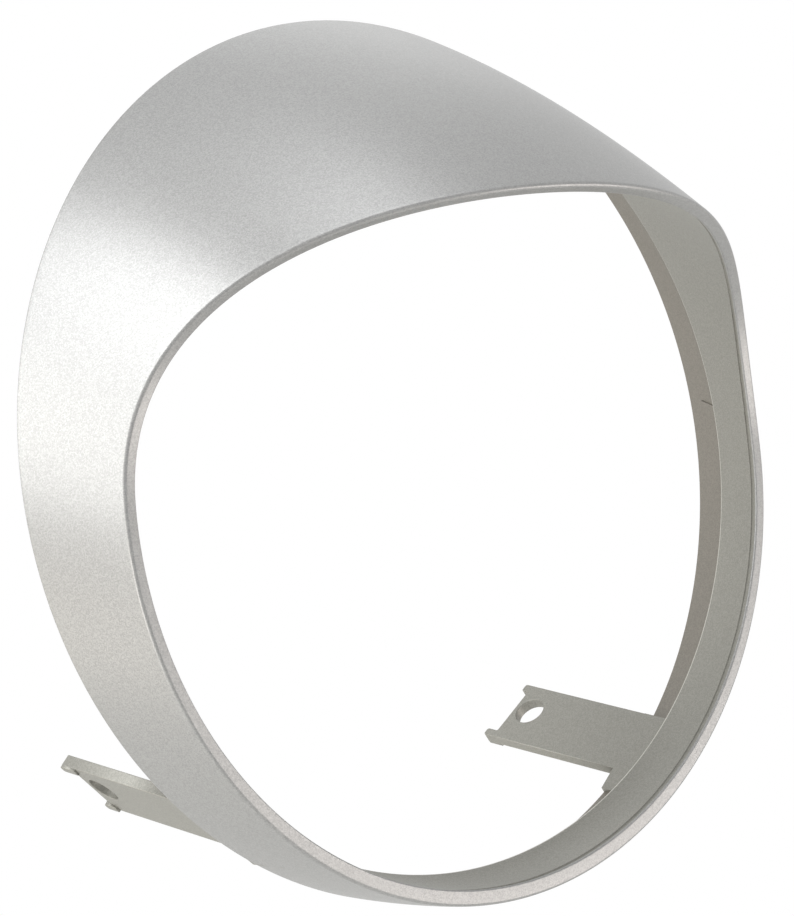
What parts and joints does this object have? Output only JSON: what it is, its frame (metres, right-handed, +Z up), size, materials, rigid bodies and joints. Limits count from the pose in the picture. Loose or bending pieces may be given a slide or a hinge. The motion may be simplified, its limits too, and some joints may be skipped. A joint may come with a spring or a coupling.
{
  "type": "headlight ring",
  "caption": "Oval headlight surround: a thin tapered ring that slants down to the front, with a long peak over its upper half and two flat screw tabs pointing back.",
  "frame": {"origin": "centre of the rear edge's outline, in the plane of the rear edge", "axes": "+Y along the ring's axis to the rear, so the ring looks to -Y; +Z up; +X to the right of someone who looks along +Y at the front"},
  "size_m": [0.194, 0.105, 0.1881],
  "materials": {
    "silver_paint": "satin silver metallic paint on moulded plastic"
  },
  "bodies": {
    "root": {"headlight_ring": "silver_paint"}
  },
  "joints": []
}
